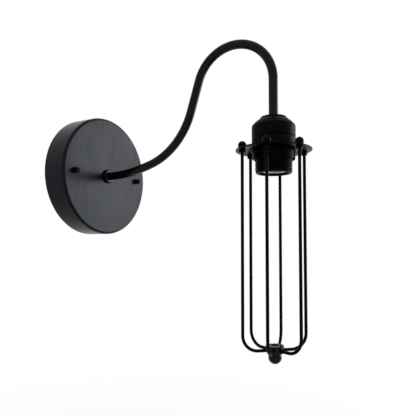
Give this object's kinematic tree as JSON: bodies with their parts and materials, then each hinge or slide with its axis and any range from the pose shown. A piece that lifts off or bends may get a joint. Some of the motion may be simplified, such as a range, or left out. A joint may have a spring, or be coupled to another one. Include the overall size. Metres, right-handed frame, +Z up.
{
  "type": "cage wall light",
  "caption": "Swan-neck wall light: round canopy on a slotted strap, bent tube arm, screw lampholder and a long wire cage clamped under it by a threaded collar.",
  "frame": {"origin": "centre of the strap's two wall slots, on the wall face behind the canopy", "axes": "+Z up, +Y into the wall, so the light stands out along -Y; +X to the right of someone facing the wall"},
  "size_m": [0.15, 0.3009, 0.3518],
  "materials": {
    "satin_black_steel": "satin black powder coat on pressed steel",
    "gloss_black_steel": "semi-gloss black lacquer on steel",
    "zinc_steel": "bright zinc plate",
    "white_nylon": "natural nylon",
    "brass": "bare",
    "earth_pvc": "green and yellow insulation",
    "brown_pvc": "brown insulation",
    "blue_pvc": "blue insulation",
    "black_phenolic": "moulded satin black",
    "pale_phenolic": "moulded cream, heat-proof",
    "nickel_shell": "nickel plate on brass",
    "spring_steel": "drawn wire"
  },
  "bodies": {
    "fixture": {"canopy": "satin_black_steel", "arm_tube": "gloss_black_steel", "arm_collar": "gloss_black_steel", "canopy_cap_nuts": "gloss_black_steel", "mounting_strap": "zinc_steel", "canopy_studs": "zinc_steel", "stud_lock_nuts": "zinc_steel", "arm_washer": "zinc_steel", "arm_lock_nut": "zinc_steel", "entry_bush": "zinc_steel", "terminal_block": "white_nylon", "terminal_screws": "zinc_steel", "block_fixing_screw": "zinc_steel", "earth_screw": "brass", "earth_lug": "brass", "earth_lead": "earth_pvc", "live_lead": "brown_pvc", "neutral_lead": "blue_pvc", "holder_cap": "black_phenolic", "holder_skirt": "black_phenolic", "contact_block": "pale_phenolic", "side_contact": "brass", "live_tag": "brass", "contact_screws": "brass", "screw_shell": "nickel_shell", "contact_spring": "spring_steel"},
    "cage": {"ring_plate": "gloss_black_steel", "wire_dome_nuts": "gloss_black_steel", "wire_under_nuts": "gloss_black_steel", "cage_hub": "gloss_black_steel", "hub_screw": "gloss_black_steel", "ball_nut": "gloss_black_steel", "cage_wire_1": "gloss_black_steel", "cage_wire_2": "gloss_black_steel", "cage_wire_3": "gloss_black_steel", "cage_wire_4": "gloss_black_steel", "cage_wire_5": "gloss_black_steel", "cage_wire_6": "gloss_black_steel"},
    "shade_collar": {"shade_collar": "black_phenolic"},
    "centre_contact": {"centre_contact": "brass"}
  },
  "joints": [
    {"name": "cage_drop", "type": "slide", "parent": "fixture", "child": "cage", "axis": [0, 0, -1], "range_m": [0, 0.0189]},
    {"name": "collar_turn", "type": "hinge", "parent": "cage", "child": "shade_collar", "pos_m": [0, -0.2606, 0.0102], "axis": [0, 0, -1], "range_deg": [0, 2721.65]},
    {"name": "contact_press", "type": "slide", "parent": "fixture", "child": "centre_contact", "axis": [0, 0, 1], "range_m": [0, 0.0012], "stiffness_N_per_m": 2000, "springref_m": -0.0003, "deforming": ["contact_spring"]}
  ],
  "couplings": [
    {"joint": "collar_turn", "follows": "cage_drop", "rad_per_m": 2513.3}
  ]
}
